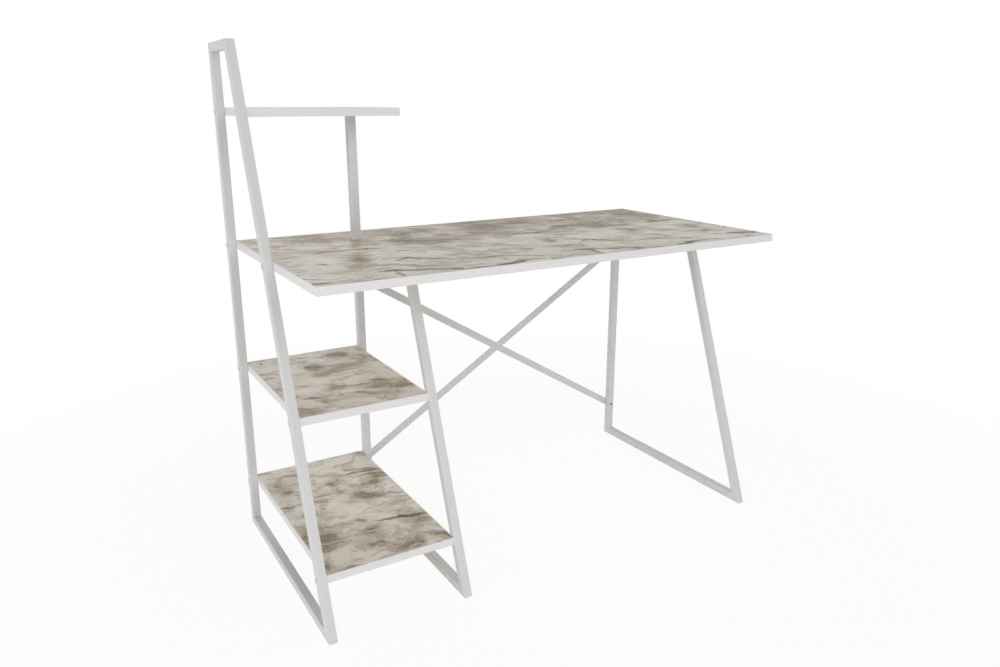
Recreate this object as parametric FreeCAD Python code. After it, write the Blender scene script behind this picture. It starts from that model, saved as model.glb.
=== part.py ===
import FreeCAD, Part
import math
import os

# A desk with a shelf unit at its left, in millimetres
# X runs from the shelf unit to the right, Y from the sitter to the rear and Z up
# While it is built, X is zero at the outer face of the left frame and Y is zero at the rear faces

# Square steel tube of the frames and the post
tube = 20.0
tube_wall = 1.5
tube_corner_radius = 2.0
tube_inner_corner_radius = 0.5

# Side frames: an upright rear leg, a slanted front leg and level tubes between them
frame_depth = 600.0
left_frame_height = 1200.0
leg_slant_degrees = 20.0
right_frame_inset = 18.0

# Laminated boards with glued edge bands
board_thickness = 18.0
band_thickness = 2.0
band_edge_radius = 1.0

# Desktop, given by the height of its upper face
desktop_length = 1200.0
desktop_depth = 600.0
desktop_height = 750.0

# Shelves between the left and the middle frame, given by the height of their upper faces
shelf_length = 297.0
middle_shelf_height = 440.0
bottom_shelf_height = 130.0

# Top shelf below the top of the left frame, with a post on the desktop under its free end
top_shelf_length = 350.0
top_shelf_drop = 140.0
post_end_inset = 80.0
post_front_inset = 74.0
plug_height = 10.0
plug_clearance = 0.1

# Flat cross brace on the rear faces of the middle and the right upright
# Its low bolts lie under the screws of the bottom shelf and its high bolts under the desktop
brace_width = 20.0
brace_thickness = 3.0
brace_low_bolt_drop = 18.0
brace_high_bolt_drop = 102.0
access_hole_radius = 3.5

# Rivet nuts of the brace bolts, flush in the rear walls of the uprights
rivet_nut_wall = 1.35
rivet_nut_length = 12.0

# Button-head screws with a hexagon socket, and how far they reach into a board
screw_radius = 3.0
screw_head_radius = 5.0
screw_head_height = 2.8
screw_head_rim = 1.0
socket_across_flats = 4.0
socket_depth = 1.8
board_screw_reach = 25.0

# Countersunk screws of the post, and how far they reach into its plugs
countersunk_head_radius = 6.0
countersunk_head_depth = 3.3
post_screw_reach = 7.0

# Pan-head wood screws under the desktop, and the board left above their tips
rail_screw_radius = 2.25
rail_screw_head_radius = 4.5
rail_screw_head_height = 2.6
rail_screw_head_rim = 1.2
rail_screw_cover = 5.0
rail_screw_inset = 60.0

# Radial room round a screw or a nut in its hole, and the overrun of every cut
hole_clearance = 0.15
overrun = 5.0

ALONG_X = FreeCAD.Vector(1, 0, 0)
ALONG_Y = FreeCAD.Vector(0, 1, 0)
ALONG_Z = FreeCAD.Vector(0, 0, 1)

slant = math.radians(leg_slant_degrees)
half_tube = tube / 2


# Front line of the slanted legs, which all frames share, and their middle line
def leg_front_y(height):
    return -frame_depth + height * math.tan(slant)


def leg_middle_y(height):
    return leg_front_y(height) + half_tube / math.cos(slant)


# Heights that follow from the sizes
underside_height = desktop_height - board_thickness
top_shelf_height = left_frame_height - top_shelf_drop
top_shelf_underside = top_shelf_height - board_thickness
brace_low_bolt_height = bottom_shelf_height - board_thickness / 2 - brace_low_bolt_drop
brace_high_bolt_height = underside_height - brace_high_bolt_drop

# Boards held by the left frame and by the middle frame
left_frame_boards = (desktop_height, top_shelf_height, middle_shelf_height, bottom_shelf_height)
middle_frame_boards = (middle_shelf_height, bottom_shelf_height)

# Places and lengths that follow from the sizes
middle_frame_x = tube + shelf_length
right_frame_x = desktop_length - right_frame_inset
top_shelf_depth = -leg_front_y(top_shelf_height)
post_x = tube + top_shelf_length - post_end_inset - half_tube
post_y = post_front_inset + half_tube - top_shelf_depth
screw_bore_radius = screw_radius + hole_clearance
rivet_nut_radius = screw_bore_radius + rivet_nut_wall
board_screw_length = tube + board_screw_reach
rail_screw_length = tube + board_thickness - rail_screw_cover

# Middle of the outline, which the finished desk has at its origin
lowest_x = -screw_head_height
highest_x = max(tube + desktop_length, right_frame_x + tube)
lowest_y = -max(frame_depth, desktop_depth)
highest_y = brace_thickness + screw_head_height
outline_middle = FreeCAD.Vector((lowest_x + highest_x) / 2, (lowest_y + highest_y) / 2, 0)


# Plain solids, and a round hole from a place along a direction
def block(low_x, high_x, low_y, high_y, low_z, high_z):
    corner = FreeCAD.Vector(low_x, low_y, low_z)
    return Part.makeBox(high_x - low_x, high_y - low_y, high_z - low_z, corner)


def rounded_bar(side, radius, length):
    bar = block(-side / 2, side / 2, -side / 2, side / 2, 0, length)
    long_edges = [edge for edge in bar.Edges if edge.Vertexes[0].Z != edge.Vertexes[-1].Z]
    return bar.makeFillet(radius, long_edges)


def drill(shape, start, direction, radius, length):
    return shape.cut(Part.makeCylinder(radius, length, start, direction))


# A copy of a shape made along Z, with its zero at a place and its Z along a direction
def placed(shape, place, direction):
    copy = shape.copy()
    copy.Placement = FreeCAD.Placement(place, FreeCAD.Rotation(ALONG_Z, direction))
    return copy


def square_tube(length):
    outside = rounded_bar(tube, tube_corner_radius, length)
    inside = rounded_bar(tube - 2 * tube_wall, tube_inner_corner_radius, length + 2 * overrun)
    inside.translate(ALONG_Z * -overrun)
    return outside.cut(inside)


# Corners of a side frame: on its outline, and where the middle lines of two tubes meet
def outline_corners(height):
    return {
        "rear_bottom": FreeCAD.Vector(0, 0, 0),
        "front_bottom": FreeCAD.Vector(0, leg_front_y(0), 0),
        "front_top": FreeCAD.Vector(0, leg_front_y(height), height),
        "rear_top": FreeCAD.Vector(0, 0, height),
    }


def middle_corners(height):
    low = half_tube
    high = height - half_tube
    return {
        "rear_bottom": FreeCAD.Vector(0, -half_tube, low),
        "front_bottom": FreeCAD.Vector(0, leg_middle_y(low), low),
        "front_top": FreeCAD.Vector(0, leg_middle_y(high), high),
        "rear_top": FreeCAD.Vector(0, -half_tube, high),
    }


# One tube of a side frame, cut to a mitre at both ends
# Each mitre runs through the outline's corner and the corner of the middle lines
def mitred_tube(frame_x, height, first, second):
    outline = outline_corners(height)
    middle = middle_corners(height)
    reach = 2 * tube
    first_mitre = (outline[first] - middle[first]).normalize() * reach
    second_mitre = (outline[second] - middle[second]).normalize() * reach
    run = middle[second] - middle[first]
    direction = FreeCAD.Vector(run).normalize()
    start = middle[first] - direction * reach + ALONG_X * (frame_x + half_tube)
    body = placed(square_tube(run.Length + 2 * reach), start, direction)
    beside = ALONG_X * (frame_x - overrun)
    corners = [
        middle[first] + first_mitre + beside,
        middle[second] + second_mitre + beside,
        middle[second] - second_mitre + beside,
        middle[first] - first_mitre + beside,
    ]
    keeper = Part.Face(Part.makePolygon(corners + corners[:1]))
    return body.common(keeper.extrude(ALONG_X * (tube + 2 * overrun)))


# Places of the two screws that hold a board's end to a frame, on the legs' middle lines
def board_screw_places(side_x, board_height):
    height = board_height - board_thickness / 2
    return [
        FreeCAD.Vector(side_x, -half_tube, height),
        FreeCAD.Vector(side_x, leg_middle_y(height), height),
    ]


def drill_for_boards(leg, frame_x, board_heights):
    for board_height in board_heights:
        for place in board_screw_places(frame_x - overrun, board_height):
            leg = drill(leg, place, ALONG_X, screw_bore_radius, tube + 2 * overrun)
    return leg


# Holes of the brace bolts: the rivet nut's in the rear wall, an open one in the front wall
def drill_for_brace(upright, frame_x):
    for bolt_height in (brace_low_bolt_height, brace_high_bolt_height):
        middle = FreeCAD.Vector(frame_x + half_tube, -half_tube, bolt_height)
        upright = drill(upright, middle, ALONG_Y, rivet_nut_radius + hole_clearance, half_tube + overrun)
        upright = drill(upright, middle, -ALONG_Y, access_hole_radius, half_tube + overrun)
    return upright


# Places of the screws that go up through a top rail into the desktop
def rail_screw_places(frame_x):
    low = underside_height - tube
    front_y = leg_front_y(underside_height) + rail_screw_inset
    return [FreeCAD.Vector(frame_x + half_tube, y, low) for y in (-rail_screw_inset, front_y)]


def drill_for_rail_screws(shape, frame_x):
    for place in rail_screw_places(frame_x):
        radius = rail_screw_radius + hole_clearance
        shape = drill(shape, place, ALONG_Z, radius, rail_screw_length + hole_clearance)
    return shape


def left_frame():
    rear_leg = mitred_tube(0, left_frame_height, "rear_bottom", "rear_top")
    front_leg = mitred_tube(0, left_frame_height, "front_bottom", "front_top")
    return {
        "left_frame_rear_leg": drill_for_boards(rear_leg, 0, left_frame_boards),
        "left_frame_front_leg": drill_for_boards(front_leg, 0, left_frame_boards),
        "left_frame_top_bar": mitred_tube(0, left_frame_height, "front_top", "rear_top"),
        "left_frame_bottom_rail": mitred_tube(0, left_frame_height, "front_bottom", "rear_bottom"),
    }


# A frame that ends under the desktop
def low_frame(name, frame_x, board_heights):
    upright = mitred_tube(frame_x, underside_height, "rear_bottom", "rear_top")
    upright = drill_for_boards(upright, frame_x, board_heights)
    front_leg = mitred_tube(frame_x, underside_height, "front_bottom", "front_top")
    top_rail = mitred_tube(frame_x, underside_height, "front_top", "rear_top")
    return {
        name + "_rear_upright": drill_for_brace(upright, frame_x),
        name + "_front_leg": drill_for_boards(front_leg, frame_x, board_heights),
        name + "_top_rail": drill_for_rail_screws(top_rail, frame_x),
        name + "_bottom_rail": mitred_tube(frame_x, underside_height, "front_bottom", "rear_bottom"),
    }


# One strip of edge band laid along a side of a board, its outer edges rounded
# A strip that covers the ends of its neighbours has rounded ends too
def band_strip(length, corner, turn_degrees, round_ends):
    strip = block(0, length, -band_thickness, 0, -board_thickness, 0)
    outer_edges = []
    for edge in strip.Edges:
        first = edge.Vertexes[0].Point
        last = edge.Vertexes[-1].Point
        runs_along = first.x != last.x
        if min(first.y, last.y) < 0 and (round_ends or runs_along):
            outer_edges.append(edge)
    strip = strip.makeFillet(min(band_edge_radius, band_thickness / 2), outer_edges)
    strip.Placement = FreeCAD.Placement(corner, FreeCAD.Rotation(ALONG_Z, turn_degrees))
    return strip


# A board with its four bands, from the left frame's inner face and the rear plane
def banded_board(name, length, depth, height):
    left = tube
    right = tube + length
    inner_left = left + band_thickness
    inner_right = right - band_thickness
    inner_front = band_thickness - depth
    inner_rear = -band_thickness
    side_length = inner_rear - inner_front
    low = height - board_thickness
    front_left = FreeCAD.Vector(left, inner_front, height)
    front_right = FreeCAD.Vector(inner_right, inner_front, height)
    rear_right = FreeCAD.Vector(right, inner_rear, height)
    rear_left = FreeCAD.Vector(inner_left, inner_rear, height)
    return {
        name + "_board": block(inner_left, inner_right, inner_front, inner_rear, low, height),
        name + "_band_front": band_strip(length, front_left, 0, True),
        name + "_band_right": band_strip(side_length, front_right, 90, False),
        name + "_band_rear": band_strip(length, rear_right, 180, True),
        name + "_band_left": band_strip(side_length, rear_left, 270, False),
    }


# Bores in a board and its bands for the screws that come through a frame into one end
def bore_board_end(pieces, side_x, direction, height):
    length = board_screw_length + hole_clearance
    for place in board_screw_places(side_x, height):
        for name, piece in pieces.items():
            pieces[name] = drill(piece, place, direction, screw_bore_radius, length)
    return pieces


# A countersunk screw of the post, along Z with the top of its head on z = 0
def countersunk_head():
    return Part.makeCone(countersunk_head_radius, screw_radius, countersunk_head_depth)


def countersunk_screw():
    shank = Part.makeCylinder(screw_radius, board_thickness + post_screw_reach)
    return countersunk_head().fuse(shank).removeSplitter()


# Hole and countersink for a post screw that goes through a board from a place on its face
def countersink(board, place, inward):
    board = drill(board, place, inward, screw_bore_radius, board_thickness)
    return board.cut(placed(countersunk_head(), place, inward))


def desktop():
    pieces = banded_board("desktop", desktop_length, desktop_depth, desktop_height)
    pieces = bore_board_end(pieces, 0, ALONG_X, desktop_height)
    board = pieces["desktop_board"]
    for frame_x in (middle_frame_x, right_frame_x):
        board = drill_for_rail_screws(board, frame_x)
    place = FreeCAD.Vector(post_x, post_y, underside_height)
    pieces["desktop_board"] = countersink(board, place, ALONG_Z)
    return pieces


def top_shelf():
    pieces = banded_board("top_shelf", top_shelf_length, top_shelf_depth, top_shelf_height)
    pieces = bore_board_end(pieces, 0, ALONG_X, top_shelf_height)
    place = FreeCAD.Vector(post_x, post_y, top_shelf_height)
    pieces["top_shelf_board"] = countersink(pieces["top_shelf_board"], place, -ALONG_Z)
    return pieces


# A shelf between the left and the middle frame, its front edge in line with the slanted legs
def low_shelf(name, height):
    pieces = banded_board(name, shelf_length, -leg_front_y(height), height)
    pieces = bore_board_end(pieces, 0, ALONG_X, height)
    return bore_board_end(pieces, middle_frame_x + tube, -ALONG_X, height)


# Post on the desktop, with a threaded plug in each end
def post_plug(low):
    side = tube - 2 * tube_wall - 2 * plug_clearance
    plug = rounded_bar(side, tube_inner_corner_radius, plug_height)
    below = ALONG_Z * -overrun
    plug = drill(plug, below, ALONG_Z, screw_bore_radius, plug_height + 2 * overrun)
    return placed(plug, FreeCAD.Vector(post_x, post_y, low), ALONG_Z)


def shelf_post():
    post = square_tube(top_shelf_underside - desktop_height)
    screw = countersunk_screw()
    lower_screw = placed(screw, FreeCAD.Vector(post_x, post_y, underside_height), ALONG_Z)
    upper_screw = placed(screw, FreeCAD.Vector(post_x, post_y, top_shelf_height), -ALONG_Z)
    return {
        "shelf_post": placed(post, FreeCAD.Vector(post_x, post_y, desktop_height), ALONG_Z),
        "shelf_post_lower_plug": post_plug(desktop_height),
        "shelf_post_upper_plug": post_plug(top_shelf_underside - plug_height),
        "post_screws": Part.makeCompound([lower_screw, upper_screw]),
    }


# A flat bar of the brace against the rear plane, with round ends about its bolts
def flat_bar(first_x, first_height, second_x, second_height):
    run = FreeCAD.Vector(second_x - first_x, 0, second_height - first_height)
    half_width = brace_width / 2
    bar = block(0, run.Length, 0, brace_thickness, -half_width, half_width)
    for end in (0, run.Length):
        round_end = Part.makeCylinder(half_width, brace_thickness, ALONG_X * end, ALONG_Y)
        bar = bar.fuse(round_end)
    bar = bar.removeSplitter()
    for end in (0, run.Length):
        in_front = ALONG_X * end - ALONG_Y * overrun
        bar = drill(bar, in_front, ALONG_Y, screw_bore_radius, brace_thickness + 2 * overrun)
    start = FreeCAD.Vector(first_x, 0, first_height)
    bar.Placement = FreeCAD.Placement(start, FreeCAD.Rotation(ALONG_X, run))
    return bar


# The long bar runs whole, and the other diagonal is two halves welded to its edges
def cross_brace():
    left_x = middle_frame_x + half_tube
    right_x = right_frame_x + half_tube
    long_bar = flat_bar(left_x, brace_high_bolt_height, right_x, brace_low_bolt_height)
    other_bar = flat_bar(left_x, brace_low_bolt_height, right_x, brace_high_bolt_height)
    halves = sorted(other_bar.cut(long_bar).Solids, key=lambda half: half.CenterOfMass.x)
    return {
        "brace_long_bar": long_bar,
        "brace_lower_half_bar": halves[0],
        "brace_upper_half_bar": halves[-1],
    }


# Places of the brace bolts on the rear plane
def brace_bolt_places():
    places = []
    for frame_x in (middle_frame_x, right_frame_x):
        for bolt_height in (brace_low_bolt_height, brace_high_bolt_height):
            places.append(FreeCAD.Vector(frame_x + half_tube, 0, bolt_height))
    return places


def rivet_nut(place):
    nut = Part.makeCylinder(rivet_nut_radius, rivet_nut_length, place, -ALONG_Y)
    return drill(nut, place, -ALONG_Y, screw_bore_radius, rivet_nut_length)


# A round head that stands on z = 0, with its upper edge rounded down to its rim
def round_head(radius, height, rim_height):
    head = Part.makeCylinder(radius, height)
    upper_edge = [edge for edge in head.Edges if edge.BoundBox.ZMin > height / 2]
    return head.makeFillet(height - rim_height, upper_edge)


# A button-head screw along Z: the head stands on z = 0 and the shank runs down
def button_screw(length):
    head = round_head(screw_head_radius, screw_head_height, screw_head_rim)
    sides = 6
    corner_radius = socket_across_flats / 2 / math.cos(math.pi / sides)
    corners = []
    for corner in range(sides):
        angle = math.tau * corner / sides
        x = corner_radius * math.cos(angle)
        y = corner_radius * math.sin(angle)
        corners.append(FreeCAD.Vector(x, y, screw_head_height - socket_depth))
    outline = Part.Face(Part.makePolygon(corners + corners[:1]))
    socket = outline.extrude(ALONG_Z * (socket_depth + overrun))
    shank = Part.makeCylinder(screw_radius, length, FreeCAD.Vector(), -ALONG_Z)
    return head.cut(socket).fuse(shank).removeSplitter()


# The screws of all boards at one side of a frame
def frame_screws(board_heights, side_x, outward):
    screw = button_screw(board_screw_length)
    screws = []
    for board_height in board_heights:
        for place in board_screw_places(side_x, board_height):
            screws.append(placed(screw, place, outward))
    return Part.makeCompound(screws)


def rail_screws():
    head = round_head(rail_screw_head_radius, rail_screw_head_height, rail_screw_head_rim)
    shank = Part.makeCylinder(rail_screw_radius, rail_screw_length, FreeCAD.Vector(), -ALONG_Z)
    screw = head.fuse(shank).removeSplitter()
    places = rail_screw_places(middle_frame_x) + rail_screw_places(right_frame_x)
    return Part.makeCompound([placed(screw, place, -ALONG_Z) for place in places])


def brace_bolts():
    bolt = button_screw(brace_thickness + rivet_nut_length)
    places = [place + ALONG_Y * brace_thickness for place in brace_bolt_places()]
    return Part.makeCompound([placed(bolt, place, ALONG_Y) for place in places])


def fasteners():
    return {
        "left_frame_screws": frame_screws(left_frame_boards, 0, -ALONG_X),
        "middle_frame_screws": frame_screws(middle_frame_boards, middle_frame_x + tube, ALONG_X),
        "desktop_rail_screws": rail_screws(),
        "brace_bolts": brace_bolts(),
        "brace_rivet_nuts": Part.makeCompound([rivet_nut(place) for place in brace_bolt_places()]),
    }


def desk():
    nodes = {}
    nodes.update(left_frame())
    nodes.update(low_frame("middle_frame", middle_frame_x, middle_frame_boards))
    nodes.update(low_frame("right_frame", right_frame_x, ()))
    nodes.update(desktop())
    nodes.update(top_shelf())
    nodes.update(low_shelf("middle_shelf", middle_shelf_height))
    nodes.update(low_shelf("bottom_shelf", bottom_shelf_height))
    nodes.update(shelf_post())
    nodes.update(cross_brace())
    nodes.update(fasteners())
    return nodes


os.makedirs("parts", exist_ok=True)
for node, shape in desk().items():
    shape.translate(-outline_middle)
    shape.exportStep("parts/" + node + ".step")
    print(node, len(shape.Solids), shape.isValid(), round(shape.Volume), shape.BoundBox)
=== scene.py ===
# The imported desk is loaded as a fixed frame, in metres, with its middle over the origin and its feet on
# the floor at height 0. X runs along the desktop to the right and Y runs from the front to the back.
import math

import bmesh
import bpy
from mathutils import Euler, Matrix, Quaternion, Vector


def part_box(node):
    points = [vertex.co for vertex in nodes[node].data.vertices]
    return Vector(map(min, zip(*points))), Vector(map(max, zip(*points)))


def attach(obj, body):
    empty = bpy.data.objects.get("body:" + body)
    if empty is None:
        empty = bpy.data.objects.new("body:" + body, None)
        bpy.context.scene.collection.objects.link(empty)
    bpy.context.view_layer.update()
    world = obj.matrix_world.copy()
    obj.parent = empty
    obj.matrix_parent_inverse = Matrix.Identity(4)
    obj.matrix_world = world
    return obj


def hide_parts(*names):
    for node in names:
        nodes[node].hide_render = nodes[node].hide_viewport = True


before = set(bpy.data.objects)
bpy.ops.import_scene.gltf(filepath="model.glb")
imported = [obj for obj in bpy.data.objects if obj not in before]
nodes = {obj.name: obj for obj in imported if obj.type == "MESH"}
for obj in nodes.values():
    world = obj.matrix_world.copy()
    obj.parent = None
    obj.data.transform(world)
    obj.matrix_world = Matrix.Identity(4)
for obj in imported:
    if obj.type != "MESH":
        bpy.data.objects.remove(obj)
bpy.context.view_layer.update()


# The left-hand frame: four lengths of 20 mm square steel tube, mitred and welded into a tall loop with a
# front leg that leans back, ground flush on its outer faces and powder coated white. It carries every board.
def add_node(tree, kind, feeds=None, **settings):
    """One node of that kind. feeds gives each input a number, a colour or the socket that drives it."""
    node = tree.nodes.new("ShaderNode" + kind)
    for setting, value in settings.items():
        setattr(node, setting, value)
    for socket, value in (feeds or {}).items():
        if isinstance(value, bpy.types.NodeSocket):
            tree.links.new(value, node.inputs[socket])
        else:
            node.inputs[socket].default_value = value
    return node


def figure(tree, operation, *values):
    """The result of a sum on single numbers."""
    return add_node(tree, "Math", dict(enumerate(values)), operation=operation).outputs[0]


def step_up(tree, value, low, high, bottom=0.0, top=1.0):
    """A smooth rise from bottom to top while value goes from low to high."""
    feeds = {"Value": value, "From Min": low, "From Max": high, "To Min": bottom, "To Max": top}
    return add_node(tree, "MapRange", feeds, interpolation_type="SMOOTHSTEP").outputs[0]


def blended(tree, share, first, second, how="MIX"):
    """Two colours mixed by share."""
    return add_node(tree, "Mix", {0: share, 6: first, 7: second}, data_type="RGBA", blend_type=how).outputs[2]


def clouds(tree, place, scale, detail, roughness=0.5):
    """Noise around one half, with scale waves to the metre."""
    feeds = {"Vector": place, "Scale": scale, "Detail": detail, "Roughness": roughness}
    return add_node(tree, "TexNoise", feeds)


def paint(red, green, blue):
    """A colour as a paint chart gives it, from 0 to 255."""
    levels = [level / 255 for level in (red, green, blue)]
    return [level / 12.92 if level < 0.04045 else ((level + 0.055) / 1.055) ** 2.4 for level in levels] + [1]


def new_group(name, takes, gives):
    """An empty node group, with the names and kinds of its inputs and outputs."""
    group = bpy.data.node_groups.new(name, "ShaderNodeTree")
    for direction, sockets in (("INPUT", takes), ("OUTPUT", gives)):
        for socket, kind in sockets.items():
            group.interface.new_socket(name=socket, in_out=direction, socket_type="NodeSocket" + kind)
    return group, group.nodes.new("NodeGroupInput").outputs, group.nodes.new("NodeGroupOutput").inputs


def new_material(name):
    """A material with its shader, and the place of each point on the object."""
    material = bpy.data.materials.new(name)
    material.use_nodes = True
    tree = material.node_tree
    place = tree.nodes.new("ShaderNodeTexCoord").outputs["Object"]
    return material, tree, tree.nodes["Principled BSDF"].inputs, place


def add_relief(tree, shader, height, depth):
    """The fine relief of a surface, depth metres high."""
    bump = add_node(tree, "Bump", {"Height": height, "Distance": depth, "Strength": 1.0})
    tree.links.new(bump.outputs["Normal"], shader["Normal"])


def coat_nodes(names, material):
    """Gives the solids of those names one material."""
    for name in names:
        nodes[name].data.materials.clear()
        nodes[name].data.materials.append(material)


coat_white = paint(220, 221, 220)
coat_relief = 0.000015
white_sheen = 0.25
broad_waves = 11
peel_waves = 430
grain_waves = 1900
nib_waves = 620

# The coat: broad unevenness, an orange peel, a fine grain and a few nibs
powder_coat, given, made = new_group(
    "powder coat",
    {"Place": "Vector", "Tone": "Color"},
    {"Colour": "Color", "Roughness": "Float", "Height": "Float"},
)
broad = clouds(powder_coat, given["Place"], broad_waves, 3).outputs[0]
peel = clouds(powder_coat, given["Place"], peel_waves, 2, 0.4).outputs[0]
grain = clouds(powder_coat, given["Place"], grain_waves, 2).outputs[0]
nibs = step_up(powder_coat, clouds(powder_coat, given["Place"], nib_waves, 0).outputs[0], 0.77, 0.84)
shade = figure(powder_coat, "MULTIPLY_ADD", broad, 0.07, 0.95)
shade = figure(powder_coat, "MULTIPLY_ADD", grain, 0.03, shade)
coated = add_node(powder_coat, "VectorMath", {0: given["Tone"], 1: shade}, operation="MULTIPLY").outputs[0]
powder_coat.links.new(coated, made["Colour"])
gloss = figure(powder_coat, "MULTIPLY_ADD", broad, 0.16, 0.34)
gloss = figure(powder_coat, "MULTIPLY_ADD", peel, 0.08, gloss)
powder_coat.links.new(gloss, made["Roughness"])
relief = figure(powder_coat, "MULTIPLY_ADD", peel, 0.75, figure(powder_coat, "MULTIPLY", grain, 0.25))
powder_coat.links.new(figure(powder_coat, "MULTIPLY_ADD", nibs, 0.5, relief), made["Height"])


def coat_material(name):
    """A material in the white coat, with its node tree, its shader, its place and what the coat gives."""
    material, tree, shader, place = new_material(name)
    coat = add_node(tree, "Group", {"Place": place, "Tone": coat_white}, node_tree=powder_coat).outputs
    shader["Specular IOR Level"].default_value = white_sheen
    tree.links.new(coat["Colour"], shader["Base Color"])
    tree.links.new(coat["Roughness"], shader["Roughness"])
    add_relief(tree, shader, coat["Height"], coat_relief)
    return material, tree, shader, place, coat


white_coat = coat_material("white_powder_coat")[0]
coat_nodes(
    ["left_frame_rear_leg", "left_frame_front_leg", "left_frame_top_bar", "left_frame_bottom_rail"],
    white_coat,
)


def turned_piece(name, sides, rings):
    """A closed round shape on the Z axis, drawn up ring by ring and left in edit mode with its top selected.
    A ring is its height and its radius."""
    height, radius = rings[0]
    bpy.ops.object.select_all(action="DESELECT")
    place = (0, 0, height)
    bpy.ops.mesh.primitive_circle_add(vertices=sides, radius=radius, fill_type="NGON", location=place)
    piece = bpy.context.object
    piece.name = name
    bpy.ops.object.transform_apply(location=True)
    bpy.ops.object.mode_set(mode="EDIT")
    bpy.ops.mesh.select_all(action="SELECT")
    for next_height, next_radius in rings[1:]:
        bpy.ops.mesh.extrude_region_move(TRANSFORM_OT_translate={"value": (0, 0, next_height - height)})
        share = next_radius / radius
        bpy.ops.transform.resize(value=(share, share, 1), center_override=(0, 0, next_height))
        height, radius = next_height, next_radius
    return piece


one_point = 0.000001


def finish_faces(smooth_angle):
    """Turns all faces outward and smooths the edges that bend by less than that many degrees."""
    bpy.ops.mesh.select_all(action="SELECT")
    bpy.ops.mesh.remove_doubles(threshold=one_point)
    bpy.ops.mesh.normals_make_consistent(inside=False)
    bpy.ops.object.mode_set(mode="OBJECT")
    bpy.ops.object.shade_smooth_by_angle(angle=math.radians(smooth_angle))


bead_sides = 16
bead_ripples = 12
bead_end_share = 0.35
bead_valley_share = 0.84


def weld_bead(middle, length, radius, lengthwise, outward_faces):
    """A rippled bead through middle, cut off flush with the faces that it lies on."""
    pitch = length / bead_ripples
    rings = [(-length / 2, radius * bead_end_share)]
    for ripple in range(bead_ripples):
        crest = -length / 2 + (ripple + 0.65) * pitch
        swell = 0.95 + 0.05 * math.sin(ripple * 2.3)
        rings += [(crest - pitch * 0.45, radius * bead_valley_share), (crest, radius * swell)]
    rings.append((length / 2, radius * bead_end_share))
    bead = turned_piece("bead", bead_sides, rings)
    bpy.ops.object.mode_set(mode="OBJECT")
    bead.rotation_euler = Vector(lengthwise).to_track_quat("Z", "Y").to_euler()
    bead.location = middle
    bpy.ops.object.transform_apply(location=True, rotation=True)
    bpy.ops.object.mode_set(mode="EDIT")
    for outward in outward_faces:
        bpy.ops.mesh.select_all(action="SELECT")
        bpy.ops.mesh.bisect(plane_co=middle, plane_no=outward, clear_inner=True, use_fill=True)
    finish_faces(smooth_angle=50)
    return bead


def joined(name, parts, material):
    """Those parts as one piece of the desk, in one material and one slot."""
    bpy.ops.object.select_all(action="DESELECT")
    for part in parts:
        part.select_set(True)
    bpy.context.view_layer.objects.active = parts[0]
    bpy.ops.object.join()
    piece = bpy.context.object
    piece.name = name
    piece.data.materials.clear()
    piece.data.materials.append(material)
    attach(piece, "root")
    return piece


tube = 0.020
leg_slant = math.radians(20)
corner_bead_length = 0.018
corner_bead_radius = 0.0018


def corner_welds(loop, rear_leg, top_bar):
    """The beads in the four inner corners of a frame's loop."""
    low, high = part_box(f"{loop}_bottom_rail")
    middle_x = (low[0] + high[0]) / 2
    rear_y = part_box(f"{loop}_{rear_leg}")[0][1]
    beads = []
    for height, upward in ((high[2], 1), (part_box(f"{loop}_{top_bar}")[0][2], -1)):
        front_y = low[1] + height * math.tan(leg_slant) + tube / math.cos(leg_slant)
        leg_face = (0, math.cos(leg_slant), -math.sin(leg_slant))
        for y, inner_face in ((rear_y, (0, -1, 0)), (front_y, leg_face)):
            corner = (middle_x, y, height)
            faces = (inner_face, (0, 0, upward))
            beads.append(weld_bead(corner, corner_bead_length, corner_bead_radius, (1, 0, 0), faces))
    joined(f"{loop}_corner_welds", beads, white_coat)


corner_welds("left_frame", "rear_leg", "top_bar")


# The middle and right-hand frames: the same tube in two low loops that end under the desktop, their front
# legs at the left-hand frame's slant. They have its white coat, which doesn't reach inside the tube. Inside,
# the bare steel is darkened to near-black: painted shade in the tube's hollow.
# Bare steel darkened to near-black: painted shade inside the tubes
bare_steel_and_shade = paint(62, 60, 58)
coat_reach = 0.0094


def bored_upright_coat(name, upright):
    """The white coat outside, and the tube's bare steel where the tool holes let one see inside, painted
    near-black as shade.
    """
    material, tree, shader, place, coat = coat_material(name)
    low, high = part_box(upright)
    axis = ((low[0] + high[0]) / 2, (low[1] + high[1]) / 2, 0)
    away = add_node(tree, "VectorMath", {0: place, 1: axis}, operation="SUBTRACT").outputs[0]
    away = add_node(tree, "VectorMath", {0: away}, operation="ABSOLUTE").outputs[0]
    away = add_node(tree, "SeparateXYZ", {0: away}).outputs
    # Within the tube's walls the white coat gives way to near-black painted shade
    inside = figure(tree, "LESS_THAN", figure(tree, "MAXIMUM", away[0], away[1]), coat_reach)
    tree.links.new(blended(tree, inside, coat["Colour"], bare_steel_and_shade), shader["Base Color"])
    return material


for side in ("middle", "right"):
    coat_nodes([f"{side}_frame_{part}" for part in ("front_leg", "top_rail", "bottom_rail")], white_coat)
    upright = f"{side}_frame_rear_upright"
    coat_nodes([upright], bored_upright_coat(f"{side}_upright_coat", upright))
    corner_welds(f"{side}_frame", "rear_upright", "top_rail")


# The four boards: 18 mm chipboard with a printed melamine face above and below, a grey-beige marble with
# brown clouds and dark broken veins. Each is cut to size, drilled, and edged with 2 mm white strip.
def pushed(tree, place, push, reach):
    """A place shifted by up to half of reach, this way and that, by a noise's colours."""
    middle = add_node(tree, "VectorMath", {0: push, 1: (0.5, 0.5, 0.5)}, operation="SUBTRACT").outputs[0]
    feeds = {0: middle, 1: (reach, reach, 0.0), 2: place}
    return add_node(tree, "VectorMath", feeds, operation="MULTIPLY_ADD").outputs[0]


def moved(tree, place, shift):
    """A place shifted the same way everywhere, so that two figures made alike don't match."""
    return add_node(tree, "VectorMath", {0: place, 1: shift}, operation="ADD").outputs[0]


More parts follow.
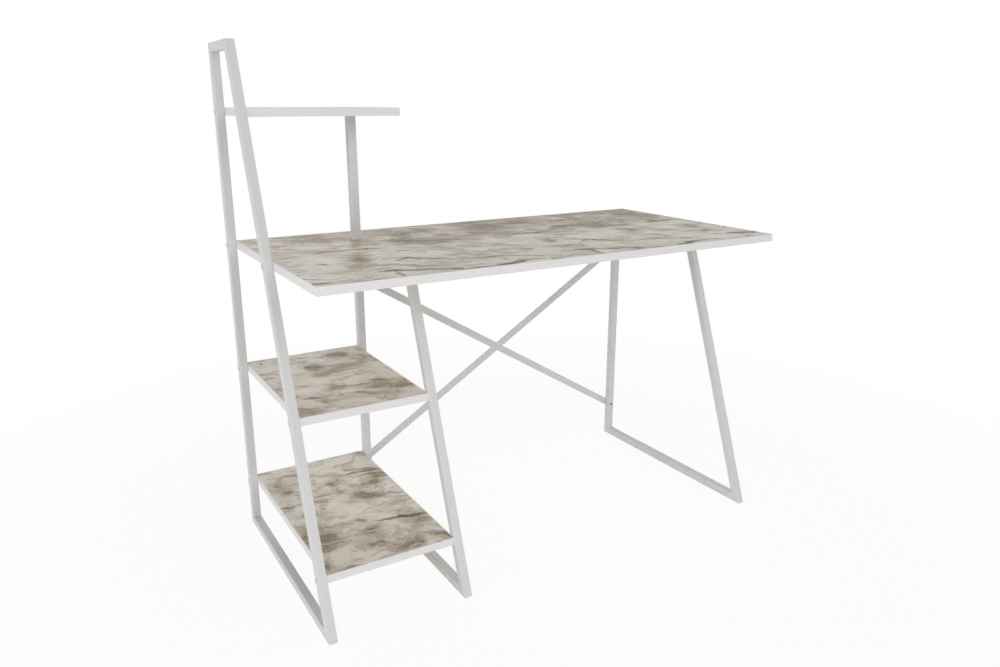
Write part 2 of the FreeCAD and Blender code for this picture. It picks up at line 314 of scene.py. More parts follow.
def stretched(tree, place, shares):
    """A place scaled by its own share along each axis, so that a share under one draws a figure out."""
    return add_node(tree, "VectorMath", {0: place, 1: shares}, operation="MULTIPLY").outputs[0]


flow_turn = math.radians(-17)
broad_push_waves = 6
fine_push_waves = 28
crumb_push_waves = 120
cell_waves = 13.0
spread_waves = 9
streak_waves = 50
thread_waves = 17
thread_place_waves = 15
uneven_waves = 56
chip_waves = 62.0
speck_waves = 900
print_relief = 0.00001

# The print's ground: how much of every figure a point has, and its place bent for the patches and veins
ground, given, made = new_group(
    "print ground",
    {"Place": "Vector", "Drift": "Vector"},
    {
        "Brown": "Float",
        "Light": "Float",
        "Streak": "Float",
        "Thread": "Float",
        "Uneven": "Float",
        "Chip": "Float",
        "Crack": "Float",
        "Speck": "Float",
        "Broad place": "Vector",
        "Fine place": "Vector",
    },
)
drifted = moved(ground, given["Place"], given["Drift"])
broad_push = clouds(ground, drifted, broad_push_waves, 3, 0.5).outputs[1]
fine_push = clouds(ground, drifted, fine_push_waves, 4, 0.6).outputs[1]
crumb_push = clouds(ground, drifted, crumb_push_waves, 4, 0.6).outputs[1]
bent = pushed(ground, pushed(ground, given["Place"], broad_push, 0.04), fine_push, 0.03)
ground.links.new(pushed(ground, bent, crumb_push, 0.012), made["Broad place"])
bent = pushed(ground, pushed(ground, given["Place"], broad_push, 0.016), fine_push, 0.016)
ground.links.new(pushed(ground, bent, crumb_push, 0.006), made["Fine place"])

flowing = pushed(ground, pushed(ground, drifted, broad_push, 0.11), fine_push, 0.034)
flowing = pushed(ground, flowing, crumb_push, 0.009)
feeds = {"Vector": flowing, "Angle": flow_turn}
turned = add_node(ground, "VectorRotate", feeds, rotation_type="Z_AXIS").outputs[0]
drawn_out = stretched(ground, turned, (0.6, 1.0, 1.0))
feeds = {"Vector": drawn_out, "Scale": cell_waves}
seam = add_node(ground, "TexVoronoi", feeds, feature="DISTANCE_TO_EDGE").outputs[0]
cell = add_node(ground, "TexVoronoi", feeds, feature="F1").outputs["Color"]
tone = add_node(ground, "SeparateColor", {0: cell}).outputs[0]
spread = clouds(ground, drifted, spread_waves, 3).outputs[0]
width = step_up(ground, spread, 0.38, 0.7, 0.03, 0.34)
band = step_up(ground, figure(ground, "DIVIDE", seam, width), 0.2, 1.2, 1.0, 0.0)
band = figure(ground, "MULTIPLY", band, step_up(ground, spread, 0.36, 0.55))
brown = figure(ground, "MULTIPLY_ADD", tone, 0.098, figure(ground, "MULTIPLY", band, 0.35))
ground.links.new(brown, made["Brown"])
ground.links.new(step_up(ground, seam, 0.1, 0.5), made["Light"])
streak = clouds(ground, stretched(ground, turned, (0.17, 1.0, 1.0)), streak_waves, 5, 0.6).outputs[0]
ground.links.new(figure(ground, "SUBTRACT", streak, 0.5), made["Streak"])

thread = clouds(ground, moved(ground, drawn_out, (7.7, 4.2, 0.9)), thread_waves, 7, 0.62).outputs[0]
thread = figure(ground, "ABSOLUTE", figure(ground, "SUBTRACT", thread, 0.5))
thread = step_up(ground, thread, 0.002, 0.022, 1.0, 0.0)
where = step_up(ground, clouds(ground, drifted, thread_place_waves, 3).outputs[0], 0.46, 0.62)
ground.links.new(figure(ground, "MULTIPLY", thread, where), made["Thread"])
uneven = clouds(ground, moved(ground, drawn_out, (1.3, 6.1, 2.2)), uneven_waves, 7, 0.7).outputs[0]
ground.links.new(figure(ground, "SUBTRACT", uneven, 0.5), made["Uneven"])
feeds = {"Vector": pushed(ground, drawn_out, fine_push, 0.02), "Scale": chip_waves}
crack = add_node(ground, "TexVoronoi", feeds, feature="DISTANCE_TO_EDGE").outputs[0]
ground.links.new(step_up(ground, crack, 0.0, 0.17, 1.0, 0.0), made["Crack"])
chip = add_node(ground, "TexVoronoi", feeds, feature="F1").outputs["Color"]
ground.links.new(add_node(ground, "SeparateColor", {0: chip}).outputs[1], made["Chip"])
ground.links.new(clouds(ground, drifted, speck_waves, 3, 0.6).outputs[0], made["Speck"])

# One soft oval of the print, which comes again at every repeat
patch, given, made = new_group(
    "print patch",
    {
        "Place": "Vector",
        "Middle": "Vector",
        "Half size": "Vector",
        "Turn": "Float",
        "Half repeat": "Vector",
        "Strength": "Float",
    },
    {"Mask": "Float"},
)
away = add_node(patch, "VectorMath", {0: given["Place"], 1: given["Middle"]}, operation="SUBTRACT").outputs[0]
back = add_node(patch, "VectorMath", {0: given["Half repeat"], "Scale": -1.0}, operation="SCALE").outputs[0]
away = add_node(patch, "VectorMath", {0: away, 1: given["Half repeat"], 2: back}, operation="WRAP").outputs[0]
feeds = {"Vector": away, "Angle": given["Turn"]}
away = add_node(patch, "VectorRotate", feeds, rotation_type="Z_AXIS").outputs[0]
away = add_node(patch, "VectorMath", {0: away, 1: given["Half size"]}, operation="DIVIDE").outputs[0]
away = add_node(patch, "VectorMath", {0: away}, operation="LENGTH").outputs[1]
mask = step_up(patch, away, 0.1, 1.0, 1.0, 0.0)
patch.links.new(figure(patch, "MULTIPLY", mask, given["Strength"]), made["Mask"])

# The inks, laid one over another by how much of each figure a point has
inks, given, made = new_group(
    "print inks",
    {
        "Brown": "Float",
        "Light": "Float",
        "Dark": "Float",
        "Streak": "Float",
        "Thread": "Float",
        "Uneven": "Float",
        "Chip": "Float",
        "Crack": "Float",
        "Speck": "Float",
    },
    {"Colour": "Color", "Roughness": "Float", "Height": "Float"},
)
left_over = figure(inks, "MULTIPLY_ADD", given["Light"], -0.3, given["Brown"])
unrest = step_up(inks, left_over, -0.3, 0.35, 0.4, 1.0)
stained = figure(inks, "MULTIPLY_ADD", given["Streak"], 1.1, figure(inks, "MULTIPLY", given["Uneven"], 2.1))
stained = figure(inks, "MULTIPLY_ADD", stained, unrest, left_over)
haze = step_up(inks, stained, -0.3, 0.55)
brown = step_up(inks, stained, 0.25, 1.25)
broken = step_up(inks, given["Streak"], -0.14, 0.1)
rim = figure(inks, "PINGPONG", figure(inks, "SUBTRACT", stained, 0.34), 0.16)
rim = figure(inks, "MULTIPLY", step_up(inks, rim, 0.0, 0.055, 1.0, 0.0), step_up(inks, stained, 0.25, 0.5))
rim = figure(inks, "MULTIPLY", rim, broken)
ragged = figure(inks, "MULTIPLY_ADD", given["Streak"], 1.8, figure(inks, "MULTIPLY", given["Uneven"], 1.6))
ragged = figure(inks, "MULTIPLY", ragged, step_up(inks, given["Dark"], 0.0, 0.3))
vein = step_up(inks, figure(inks, "ADD", ragged, given["Dark"]), 0.15, 1.0)
vein_core = step_up(inks, figure(inks, "MULTIPLY_ADD", given["Dark"], 0.4, ragged), 0.35, 0.8)
loose = figure(inks, "MULTIPLY_ADD", given["Brown"], 0.15, given["Streak"])
loose = step_up(inks, figure(inks, "MULTIPLY_ADD", given["Uneven"], 0.3, loose), 0.1, 0.24)
loose = figure(inks, "MULTIPLY", loose, unrest)
chipped = figure(inks, "MULTIPLY", step_up(inks, given["Chip"], 0.45, 0.9), brown)
cracked = figure(inks, "MULTIPLY", given["Crack"], step_up(inks, left_over, 0.35, 0.9))
print_colour = blended(inks, haze, paint(231, 225, 214), paint(198, 187, 169))
ink_layers = [
    (brown, 1.0, paint(157, 137, 109)),
    (chipped, 0.45, paint(207, 196, 176)),
    (cracked, 0.5, paint(110, 91, 65)),
    (rim, 0.8, paint(104, 86, 59)),
    (loose, 0.65, paint(112, 99, 74)),
    (given["Thread"], 0.6, paint(116, 101, 75)),
    (vein, 0.72, paint(101, 86, 58)),
    (vein_core, 0.9, paint(72, 60, 37)),
]
for mask, strength, ink in ink_layers:
    share = figure(inks, "MULTIPLY", mask, strength)
    print_colour = blended(inks, share, print_colour, ink)
dots = figure(inks, "MULTIPLY_ADD", given["Speck"], 0.16, 0.92)
print_colour = add_node(inks, "VectorMath", {0: print_colour, 1: dots}, operation="MULTIPLY").outputs[0]
inks.links.new(print_colour, made["Colour"])
gloss = figure(inks, "MULTIPLY_ADD", given["Speck"], 0.14, 0.4)
inks.links.new(figure(inks, "MULTIPLY_ADD", vein, 0.06, gloss), made["Roughness"])
relief = figure(inks, "MULTIPLY", given["Uneven"], 0.4)
inks.links.new(figure(inks, "MULTIPLY_ADD", given["Speck"], 0.6, relief), made["Height"])


def add_patches(tree, total, patches, place, repeat):
    """A mask with patches added to it, each its middle, length, width, turn and strength."""
    for x, y, length, width, turn, strength in patches:
        feeds = {
            "Place": place,
            "Middle": (x / 1000, y / 1000, 0.0),
            "Half size": (length / 2000, width / 2000, 1.0),
            "Turn": math.radians(-turn),
            "Half repeat": (repeat[0] / 2000, repeat[1] / 2000, 1.0),
            "Strength": strength,
        }
        mask = add_node(tree, "Group", feeds, node_tree=patch).outputs["Mask"]
        total = mask if total is None else figure(tree, "ADD", total, mask)
    return total


rear_left_corner = (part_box("desktop_band_left")[0][0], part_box("desktop_band_rear")[1][1])
vein_overlap = 1.5
vein_spread = 2.6
vein_strength = 1.1
no_repeat = 4000


def marble(name, drift, repeat, brown_patches, light_patches, veins):
    """The print of one board. drift moves its clouds to a place of their own, and repeat is the distance at
    which the patches and veins come again, to the right and to the front. Sizes are in millimetres from the
    boards' common rear left corner, to the right and to the front. A patch is its middle, length, width, turn
    and strength, and a vein its two ends, width and strength."""
    material, tree, shader, place = new_material(name)
    corner_x, corner_y = rear_left_corner
    feeds = {"Vector": place, "Location": (-corner_x, corner_y, 0.0), "Scale": (1.0, -1.0, 0.0)}
    place = add_node(tree, "Mapping", feeds).outputs[0]
    base = add_node(tree, "Group", {"Place": place, "Drift": drift}, node_tree=ground).outputs

    long_patches = []
    for x, y, end_x, end_y, width, strength in veins:
        middle = ((x + end_x) / 2, (y + end_y) / 2)
        length = math.hypot(end_x - x, end_y - y) * vein_overlap
        turn = math.degrees(math.atan2(end_y - y, end_x - x))
        long_patches.append((*middle, length, width * vein_spread, turn, strength * vein_strength))

    feeds = {mask: base[mask] for mask in ("Streak", "Thread", "Uneven", "Chip", "Crack", "Speck")}
    feeds["Brown"] = add_patches(tree, base["Brown"], brown_patches, base["Broad place"], repeat)
    feeds["Light"] = add_patches(tree, base["Light"], light_patches, base["Broad place"], repeat)
    feeds["Dark"] = add_patches(tree, None, long_patches, base["Fine place"], repeat)
    ink = add_node(tree, "Group", feeds, node_tree=inks).outputs
    tree.links.new(ink["Colour"], shader["Base Color"])
    tree.links.new(ink["Roughness"], shader["Roughness"])
    add_relief(tree, shader, ink["Height"], print_relief)
    return material


desktop_print = marble(
    "desktop_print",
    (0.0, 0.0, 0.0),
    (478, no_repeat),
    [
        # A broad brown wash over the rear half, painted shade: the print grows darker towards the rear
        (239, 60, 1000, 560, 0, 0.6),
        (175, 95, 130, 95, 75, 0.9),
        (430, 240, 300, 170, 5, 0.7),
        (430, 262, 120, 55, 0, 0.5),
        (335, 205, 60, 60, 0, 0.7),
        (135, 262, 60, 50, 0, 0.6),
        (172, 395, 70, 95, 0, 0.6),
        (457, 85, 50, 75, 0, 0.6),
        (460, 365, 60, 60, 0, 0.5),
        (150, 470, 80, 40, 0, 0.4),
    ],
    [
        (322, 392, 190, 130, 10, 0.9),
        (90, 372, 90, 80, 0, 0.8),
        (170, 297, 100, 60, 10, 0.7),
        (100, 100, 100, 60, 0, 0.5),
        (230, 180, 110, 60, 0, 0.4),
        (300, 500, 200, 60, 10, 0.6),
        (90, 560, 110, 60, 0, 0.7),
    ],
    [
        (150, 524, 206, 545, 10, 1.6),
        (200, 542, 266, 562, 10, 1.6),
        (258, 560, 322, 590, 9, 1.6),
        (314, 588, 388, 598, 8, 1.5),
        (380, 598, 434, 588, 11, 1.6),
        (426, 590, 478, 571, 12, 1.7),
        (466, 572, 516, 577, 8, 1.2),
        (161, 527, 220, 530, 7, 1.0),
        (185, 540, 178, 598, 7, 1.0),
        (213, 394, 280, 428, 5, 0.9),
        (272, 426, 356, 494, 5, 1.0),
        (350, 493, 406, 497, 6, 1.2),
        (398, 496, 466, 508, 7, 1.3),
        (458, 507, 530, 554, 5, 1.0),
        (228, 447, 268, 419, 7, 1.2),
        (264, 420, 290, 462, 6, 1.0),
        (96, 278, 134, 269, 6, 1.0),
        (128, 269, 206, 265, 8, 1.4),
        (200, 265, 264, 284, 10, 1.5),
        (306, 204, 366, 223, 13, 1.4),
        (358, 222, 408, 242, 8, 1.0),
        (400, 242, 442, 296, 6, 0.7),
        (56, 375, 101, 423, 6, 0.8),
        (458, 430, 484, 507, 7, 0.9),
        (58, 171, 97, 219, 7, 0.9),
        (330, 130, 430, 118, 7, 0.9),
        (250, 330, 340, 345, 6, 0.7),
        (60, 24, 200, 38, 8, 0.8),
    ],
)
bottom_shelf_print = marble(
    "bottom_shelf_print",
    (1.9, 0.7, 0.3),
    (no_repeat, 275),
    [
        (208, 258, 130, 80, 20, 0.8),
        (150, 152, 60, 55, 0, 0.6),
        (278, 168, 80, 50, 0, 0.7),
        (40, 120, 120, 200, 0, 0.45),
        (12, 235, 50, 60, 0, 0.6),
        (45, 150, 40, 30, 0, 0.5),
        (90, 330, 110, 50, 0, 0.4),
    ],
    [
        (200, 168, 120, 80, 0, 1.3),
        (115, 250, 110, 85, 0, 1.3),
        (180, 50, 190, 120, 0, 1.3),
        (272, 220, 80, 70, 0, 1.2),
        (80, 190, 70, 40, 0, 0.7),
    ],
    [
        (178, 118, 232, 126, 8, 1.1),
        (225, 125, 300, 140, 9, 1.3),
        (140, 145, 165, 150, 8, 0.6),
        (250, 270, 298, 291, 7, 0.8),
        (226, 246, 232, 268, 10, 0.6),
        (138, 203, 170, 215, 9, 0.6),
        (100, 338, 135, 341, 5, 0.6),
        (0, 218, 30, 226, 7, 0.7),
    ],
)
middle_shelf_print = marble(
    "middle_shelf_print",
    (4.1, 2.6, 0.8),
    (no_repeat, no_repeat),
    [
        (235, 60, 140, 90, 0, 0.7),
        (200, 155, 140, 90, 0, 0.7),
        (135, 122, 70, 80, 0, 0.6),
        (135, 302, 70, 80, 0, 0.6),
        (255, 330, 130, 130, 0, 0.5),
        (200, 345, 60, 40, 0, 0.4),
        (30, 412, 80, 50, 0, 0.6),
        (270, 120, 110, 110, 0, 0.4),
        (150, 180, 100, 80, 0, 0.4),
    ],
    [
        (115, 230, 100, 60, 0, 0.8),
        (272, 237, 70, 40, 0, 0.6),
        (45, 290, 70, 60, 0, 0.8),
        (165, 402, 150, 50, 0, 0.7),
        (100, 70, 70, 60, 0, 0.6),
        (40, 100, 70, 70, 0, 0.5),
    ],
    [
        (196, 66, 262, 50, 13, 1.0),
        (214, 78, 256, 66, 8, 0.8),
        (180, 58, 240, 34, 9, 0.9),
        (0, 4, 75, 16, 8, 0.9),
        (29, 22, 25, 58, 5, 0.7),
        (100, 28, 160, 54, 8, 0.8),
        (162, 52, 186, 66, 9, 0.8),
        (118, 114, 132, 126, 10, 0.8),
        (138, 126, 150, 138, 9, 0.8),
        (131, 150, 125, 188, 4, 0.6),
        (118, 296, 132, 306, 11, 0.9),
        (138, 306, 150, 318, 9, 0.9),
        (130, 330, 125, 368, 4, 0.6),
        (0, 148, 40, 155, 8, 0.9),
        (40, 155, 90, 163, 6, 0.7),
        (30, 332, 88, 346, 8, 1.0),
        (58, 368, 90, 374, 6, 0.5),
        (56, 246, 94, 266, 6, 0.7),
        (204, 236, 214, 220, 8, 0.6),
        (204, 412, 212, 400, 7, 0.6),
    ],
)
top_shelf_print = marble(
    "top_shelf_print",
    (7.3, 5.2, 1.7),
    (no_repeat, no_repeat),
    [(90, 90, 160, 90, 10, 0.7), (270, 60, 120, 80, 0, 0.6), (220, 170, 140, 70, 15, 0.5)],
    [(180, 60, 120, 60, 10, 0.8), (80, 170, 110, 60, 0, 0.8), (300, 140, 100, 70, 0, 0.7)],
    [
        (40, 40, 130, 62, 8, 1.0),
        (120, 60, 205, 88, 9, 1.0),
        (200, 120, 320, 152, 8, 1.0),
        (60, 120, 96, 128, 7, 0.7),
        (250, 30, 262, 66, 6, 0.7),
        (150, 180, 240, 200, 7, 0.8),
    ],
)

strip_white = paint(234, 233, 232)
strip_relief = 0.00001
soft_waves = 16
pore_waves = 1500

# The strip: fine lines drawn along its length, and pores
strip, given, made = new_group(
    "edge strip",
    {"Place": "Vector"},
    {"Shade": "Float", "Roughness": "Float", "Height": "Float"},
)
lines = clouds(strip, stretched(strip, given["Place"], (12.0, 900.0, 900.0)), 1, 3, 0.6).outputs[0]
soft = clouds(strip, given["Place"], soft_waves, 3).outputs[0]
pores = clouds(strip, given["Place"], pore_waves, 2).outputs[0]
strip.links.new(figure(strip, "MULTIPLY_ADD", soft, 0.04, 0.98), made["Shade"])
strip.links.new(figure(strip, "MULTIPLY_ADD", lines, 0.14, 0.36), made["Roughness"])
strip.links.new(figure(strip, "MULTIPLY_ADD", pores, 0.5, lines), made["Height"])

white_strip, tree, shader, place = new_material("white_edge_strip")
edge = add_node(tree, "Group", {"Place": place}, node_tree=strip).outputs
tone = add_node(tree, "VectorMath", {0: strip_white[:3], 1: edge["Shade"]}, operation="MULTIPLY").outputs[0]
shader["Specular IOR Level"].default_value = white_sheen
tree.links.new(tone, shader["Base Color"])
tree.links.new(edge["Roughness"], shader["Roughness"])
add_relief(tree, shader, edge["Height"], strip_relief)

board_prints = {
    "bottom_shelf": bottom_shelf_print,
    "middle_shelf": middle_shelf_print,
    "desktop": desktop_print,
    "top_shelf": top_shelf_print,
}
for board, board_print in board_prints.items():
    coat_nodes([board + "_board"], board_print)
    coat_nodes([f"{board}_band_{side}" for side in ("front", "rear", "left", "right")], white_strip)


# The screws that hold the boards between the frames: button heads with a hexagon socket, in bright
# zinc-plated steel, driven from outside through the tubes into the boards' ends.
plating_relief = 0.000015
mottle_waves = 260
scratch_waves = 1400

# The plating: a mottled tone under fine scratches
plated, given, made = new_group(
    "plated steel",
    {"Place": "Vector", "Tone": "Color"},
    {"Colour": "Color", "Roughness": "Float", "Height": "Float"},
)
mottle = clouds(plated, given["Place"], mottle_waves, 4, 0.6).outputs[0]
scratched = stretched(plated, given["Place"], (1.0, 6.0, 1.0))
scratch = clouds(plated, scratched, scratch_waves, 3, 0.6).outputs[0]
shade = figure(plated, "MULTIPLY_ADD", mottle, 0.24, 0.88)
tinted = add_node(plated, "VectorMath", {0: given["Tone"], 1: shade}, operation="MULTIPLY").outputs[0]
plated.links.new(tinted, made["Colour"])
plated.links.new(figure(plated, "MULTIPLY_ADD", scratch, 0.22, 0.2), made["Roughness"])
plated.links.new(figure(plated, "MULTIPLY_ADD", mottle, 0.4, scratch), made["Height"])


def plated_material(name, tone):
    """Bare metal with a plating of that tone."""
    material, tree, shader, place = new_material(name)
    finish = add_node(tree, "Group", {"Place": place, "Tone": tone}, node_tree=plated).outputs
    tree.links.new(finish["Colour"], shader["Base Color"])
    tree.links.new(finish["Roughness"], shader["Roughness"])
    shader["Metallic"].default_value = 1.0
    add_relief(tree, shader, finish["Height"], plating_relief)
    return material


bright_steel = plated_material("bright_screw_steel", paint(206, 206, 203))

screw_sides = 30
screw_radius = 0.003
board_screw_length = 0.045
board_screw_plain = 0.020
board_screw_pitch = 0.0024
button_head_radius = 0.005
button_head_height = 0.0028
button_head_flat = 0.0027
hexagon_across_flats = 0.004
hexagon_depth = 0.0016
core_share = 0.8


def threaded_shank(length, plain, pitch, radius):
    """The rings of a screw's shank from its tip up to its seat at height 0, the last stretch being plain."""
    core = radius * core_share
    rings = [(-length, core * 0.5), (-length + radius * 0.8, core)]
    foot = -length + radius
    while foot + pitch < -plain:
        rings += [(foot, core), (foot + pitch * 0.38, radius), (foot + pitch * 0.52, radius)]
        rings.append((foot + pitch * 0.9, core))
        foot += pitch
    return rings + [(foot, core), (foot + radius * 0.2, radius * 0.97), (0, radius * 0.97)]


head_steps = 7


def round_head(radius, height, flat_radius):
    """The rings of a domed head that stands on height 0 and ends in a flat."""
    rim = height * 0.32
    rings = [(0, radius * 0.98), (radius * 0.04, radius), (rim, radius)]
    for step in range(1, head_steps + 1):
        angle = math.radians(step * 90 / head_steps)
        across = flat_radius + (radius - flat_radius) * math.cos(angle)
        rings.append((rim + (height - rim) * math.sin(angle), across))
    return rings


def choose_points(piece, wanted):
    """In edit mode, selects the points that pass the test, with the edges and faces between them."""
    bpy.ops.mesh.select_mode(type="VERT")
    mesh = bmesh.from_edit_mesh(piece.data)
    for point in mesh.verts:
        point.select_set(wanted(point.co))
    mesh.select_flush_mode()
    bmesh.update_edit_mesh(piece.data)


def socket_screw(name, rings, across_flats, depth):
    """A screw with a chamfered hexagon socket in its flat top."""
    piece = turned_piece(name, screw_sides, rings)
    top = rings[-1][0]
    corner = across_flats / 2 / math.cos(math.pi / 6)
    mouth = corner * 1.08
    bpy.ops.mesh.delete(type="ONLY_FACE")
    bpy.ops.mesh.select_all(action="DESELECT")
    bpy.ops.mesh.primitive_circle_add(vertices=6, radius=mouth, fill_type="NOTHING", location=(0, 0, top))
    bpy.ops.mesh.subdivide(number_cuts=screw_sides // 6 - 1)
    choose_points(piece, lambda point: abs(point.z - top) < one_point)
    bpy.ops.mesh.bridge_edge_loops()
    choose_points(piece, lambda point: abs(point.z - top) < one_point and point.xy.length < mouth * 1.01)
    chamfer = (across_flats * 0.05, corner / mouth)
    drill_point = (across_flats * 0.1, 0.2)
    for sunk, share in (chamfer, (depth, 1.0), drill_point):
        bpy.ops.mesh.extrude_region_move(TRANSFORM_OT_translate={"value": (0, 0, -sunk)})
        bpy.ops.transform.resize(value=(share, share, 1), center_override=(0, 0, top))
    bpy.ops.mesh.edge_face_add()
    finish_faces(smooth_angle=32)
    return piece


def driven_in(model, name, seats, material, replaced):
    """Copies of a screw in one piece, for the node that it replaces. A seat is a place and the way the head
    faces, and each screw has stopped at its own turn."""
    copies = []
    for number, (place, outward) in enumerate(seats):
        bpy.ops.object.select_all(action="DESELECT")
        model.select_set(True)
        bpy.context.view_layer.objects.active = model
        bpy.ops.object.duplicate()
        copy = bpy.context.object
        stopped = Quaternion((0, 0, 1), number * 0.7 + 0.2)
        copy.rotation_euler = (Vector(outward).to_track_quat("Z", "Y") @ stopped).to_euler()
        copy.location = place
        bpy.ops.object.transform_apply(location=True, rotation=True)
        copies.append(copy)
    bpy.data.objects.remove(model)
    piece = joined(name, copies, material)
    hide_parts(replaced)


def board_screw_seats(side_x, boards, outward):
    """Seats on a frame's face, on the middle lines of its legs and of the boards' ends."""
    front_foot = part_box("left_frame_front_leg")[0][1]
    rear_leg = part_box("left_frame_rear_leg")
    seats = []
    for board in boards:
        low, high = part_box(board + "_board")
        height = (low[2] + high[2]) / 2
        front_y = front_foot + height * math.tan(leg_slant) + tube / 2 / math.cos(leg_slant)
        for y in ((rear_leg[0][1] + rear_leg[1][1]) / 2, front_y):
            seats.append(((side_x, y, height), outward))
    return seats


button_head = round_head(button_head_radius, button_head_height, button_head_flat)
board_screw = threaded_shank(board_screw_length, board_screw_plain, board_screw_pitch, screw_radius)
board_screw += button_head
driven_in(
    socket_screw("board_screw", board_screw, hexagon_across_flats, hexagon_depth),
    "left_frame_button_screws",
    board_screw_seats(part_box("left_frame_rear_leg")[0][0], board_prints, (-1, 0, 0)),
    bright_steel,
    "left_frame_screws",
)
driven_in(
    socket_screw("board_screw", board_screw, hexagon_across_flats, hexagon_depth),
    "middle_frame_button_screws",
    board_screw_seats(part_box("middle_frame_rear_upright")[1][0], ("middle_shelf", "bottom_shelf"), (1, 0, 0)),
    bright_steel,
    "middle_frame_screws",
)


# The four screws that hold the desktop down: bright pan heads, driven up through the top rails of the
# middle and right-hand frames into the board.
rail_screw_length = 0.033
rail_screw_plain = 0.021
rail_screw_pitch = 0.0018
rail_screw_radius = 0.00225
pan_head_radius = 0.0045
pan_head_height = 0.0026
pan_head_flat = 0.0024
pan_head_hexagon = 0.003
pan_head_hexagon_depth = 0.0014
rail_inset = 0.060

rail_screw = threaded_shank(rail_screw_length, rail_screw_plain, rail_screw_pitch, rail_screw_radius)
rail_screw += round_head(pan_head_radius, pan_head_height, pan_head_flat)
rail_seats = []
for side in ("middle", "right"):
    low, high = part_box(f"{side}_frame_top_rail")
    for y in (high[1] - rail_inset, low[1] + rail_inset):
        rail_seats.append((((low[0] + high[0]) / 2, y, low[2]), (0, 0, -1)))
driven_in(
    socket_screw("rail_screw", rail_screw, pan_head_hexagon, pan_head_hexagon_depth),
    "desktop_rail_button_screws",
    rail_seats,
    bright_steel,
    "desktop_rail_screws",
)


# The post under the top shelf: the same tube, plugged at both ends and held by a countersunk screw up
# through the desktop and one down through the shelf.
coat_nodes(["shelf_post"], white_coat)
zinc_steel = plated_material("zinc_plated_steel", paint(196, 198, 199))
coat_nodes(["shelf_post_lower_plug", "shelf_post_upper_plug"], zinc_steel)

post_screw_length = 0.0217
post_screw_plain = 0.004
metric_pitch = 0.001
flat_head_radius = 0.006
flat_head_depth = 0.0033
flat_head_rim = [(-0.0003, 0.96), (-0.0001, 0.99), (0, 0.98)]

post_shank = threaded_shank(post_screw_length, post_screw_plain, metric_pitch, screw_radius)
post_shank = [(height - flat_head_depth, radius) for height, radius in post_shank]
flat_head = [(height, flat_head_radius * share) for height, share in flat_head_rim]
low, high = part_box("shelf_post")
post_x = (low[0] + high[0]) / 2
post_y = (low[1] + high[1]) / 2
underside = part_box("desktop_board")[0][2]
shelf_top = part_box("top_shelf_board")[1][2]
driven_in(
    socket_screw("post_screw", post_shank + flat_head, hexagon_across_flats, hexagon_depth),
    "post_flat_head_screws",
    [((post_x, post_y, underside), (0, 0, -1)), ((post_x, post_y, shelf_top), (0, 0, 1))],
    zinc_steel,
    "post_screws",
)


# The cross brace behind the knee space: 20 x 3 mm flat bars, one in full length and two halves welded to
# it at the crossing, coated white and bolted from behind into rivet nuts in the rear uprights.
coat_nodes(["brace_long_bar", "brace_lower_half_bar", "brace_upper_half_bar"], white_coat)
coat_nodes(["brace_rivet_nuts"], zinc_steel)

bar_width = 0.020
brace_bolt_length = 0.015
brace_bolt_plain = 0.002
crossing_bead_radius = 0.0013
crossing_bead_gap = 0.002

back_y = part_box("brace_long_bar")[1][1]
low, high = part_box("brace_bolts")
bolt_x = (low[0] + button_head_radius, high[0] - button_head_radius)
bolt_z = (low[2] + button_head_radius, high[2] - button_head_radius)
brace_bolt = threaded_shank(brace_bolt_length, brace_bolt_plain, metric_pitch, screw_radius) + button_head
driven_in(
    socket_screw("brace_bolt", brace_bolt, hexagon_across_flats, hexagon_depth),
    "brace_button_bolts",
    [((x, back_y, z), (0, 1, 0)) for x in bolt_x for z in bolt_z],
    bright_steel,
    "brace_bolts",
)

crossing = Vector((sum(bolt_x) / 2, back_y, sum(bolt_z) / 2))
falling = Vector((bolt_x[1] - bolt_x[0], 0, bolt_z[0] - bolt_z[1])).normalized()
rising = Vector((falling.x, 0, -falling.z))
seam_length = bar_width / falling.cross(rising).length
bead_length = seam_length - crossing_bead_gap
seams = []
for side in (-1, 1):
    middle = crossing + rising * (side * seam_length / 2)
    seams.append(weld_bead(middle, bead_length, crossing_bead_radius, falling, [(0, 1, 0)]))
joined("brace_crossing_welds", seams, white_coat)


# The studio: a plain white floor and surround, soft lamps, and the camera where the photograph was taken.
# The white that the camera sees is the floor's and the surround's own, and the shadow is kept faint.
pure_white = (1, 1, 1, 1)
floor_size = 60
floor_place = (0, 0, -0.0003)
shadow_reach = (0.9, 2.2)
shadow_strength = 0.07
surround_level = 1.39
lamp_aim = Vector((0, 0, 0.5))

# Each lamp has its place, its width in metres and its power in watts
lamps = {
    "left_lamp": ((-3.4, -0.9, 0.8), 1.5, 18.5),
    "low_front_lamp": ((-0.8, -2.6, 0.35), 1.0, 12),
    "right_lamp": ((3.4, -1.6, 1.0), 1.5, 6),
    "rear_lamp": ((0.4, 3.6, 1.0), 1.5, 8),
    "upper_front_lamp": ((0.3, -1.2, 2.6), 1.2, 2.5),
}
camera_place = (-1.03509, -1.69032, 1.07041)
camera_turn = -31.052
camera_tilt = 74.0
camera_roll = 0.049
sensor_width = 36
focal_length = 28.946

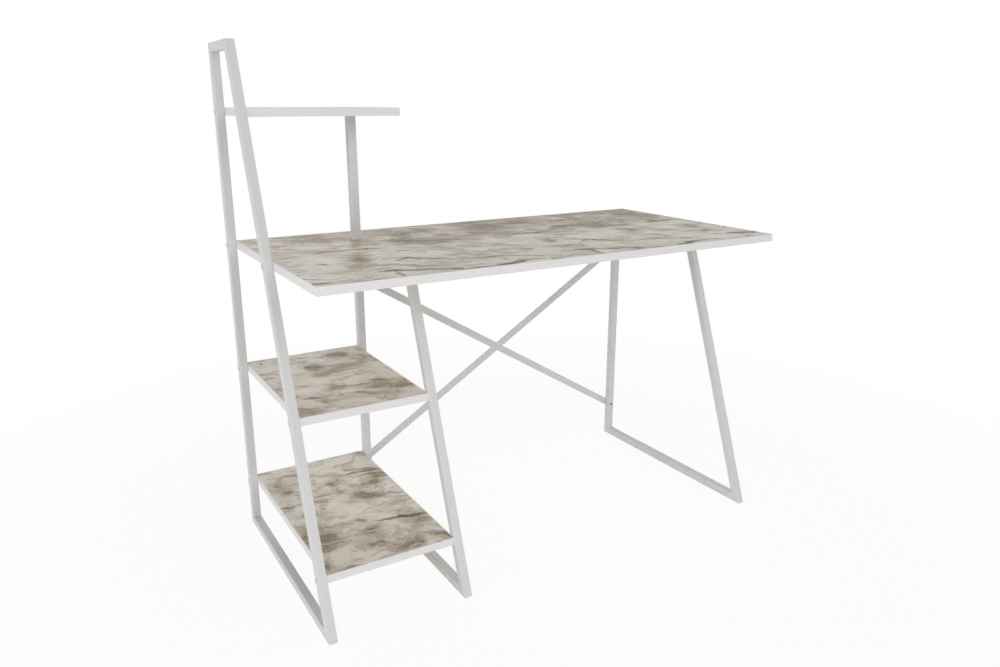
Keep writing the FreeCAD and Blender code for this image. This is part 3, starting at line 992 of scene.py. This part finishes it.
bpy.ops.object.select_all(action="DESELECT")
bpy.ops.mesh.primitive_grid_add(x_subdivisions=8, y_subdivisions=8, size=floor_size, location=floor_place)
floor = bpy.context.object
floor.name = "studio_floor"
bpy.ops.object.transform_apply(location=True)
floor_white = bpy.data.materials.new("studio_white")
floor_white.use_nodes = True
tree = floor_white.node_tree
tree.nodes.remove(tree.nodes["Principled BSDF"])
rays = tree.nodes.new("ShaderNodeLightPath")
seen = figure(tree, "MAXIMUM", rays.outputs["Is Camera Ray"], rays.outputs["Is Glossy Ray"])
paper = add_node(tree, "BsdfDiffuse", {"Color": paint(247, 247, 247)})
white = add_node(tree, "Emission", {"Color": pure_white, "Strength": 1.0})
place = tree.nodes.new("ShaderNodeTexCoord").outputs["Object"]
distance = add_node(tree, "VectorMath", {0: place}, operation="LENGTH").outputs[1]
share = figure(tree, "MULTIPLY", seen, step_up(tree, distance, *shadow_reach, 1 - shadow_strength, 1.0))
surface = add_node(tree, "MixShader", {0: share, 1: paper.outputs[0], 2: white.outputs[0]})
tree.links.new(surface.outputs[0], tree.nodes["Material Output"].inputs["Surface"])
floor.data.materials.append(floor_white)

world = bpy.data.worlds.new("studio_surround")
bpy.context.scene.world = world
world.use_nodes = True
tree = world.node_tree
tree.nodes.remove(tree.nodes["Background"])
rays = tree.nodes.new("ShaderNodeLightPath")
seen = figure(tree, "MAXIMUM", rays.outputs["Is Camera Ray"], rays.outputs["Is Glossy Ray"])
direction = tree.nodes.new("ShaderNodeTexCoord").outputs["Generated"]
upward = add_node(tree, "SeparateXYZ", {0: direction}).outputs["Z"]
rise = step_up(tree, upward, 0.0, 0.4)
fall = step_up(tree, upward, 0.4, 0.9, surround_level, 0.0)
band_of_light = figure(tree, "MULTIPLY", rise, fall)
lighting = add_node(tree, "Background", {"Color": band_of_light, "Strength": 1.0})
white = add_node(tree, "Background", {"Color": pure_white, "Strength": 1.0})
surround = add_node(tree, "MixShader", {0: seen, 1: lighting.outputs[0], 2: white.outputs[0]})
tree.links.new(surround.outputs[0], tree.nodes["World Output"].inputs["Surface"])

for name, (place, size, power) in lamps.items():
    bpy.ops.object.light_add(type="AREA", location=place)
    lamp = bpy.context.object
    lamp.name = name
    lamp.data.shape = "SQUARE"
    lamp.data.size = size
    lamp.data.energy = power
    lamp.rotation_euler = (lamp_aim - Vector(place)).to_track_quat("-Z", "Y").to_euler()

bpy.ops.object.camera_add(location=camera_place)
camera = bpy.context.object
camera.data.sensor_width = sensor_width
camera.data.lens = focal_length
look = Euler((math.radians(camera_tilt), 0, math.radians(camera_turn))).to_matrix()
look = look @ Matrix.Rotation(math.radians(camera_roll), 3, "Z")
camera.rotation_euler = look.to_euler()
bpy.context.scene.camera = camera
bpy.context.scene.view_settings.view_transform = "Standard"
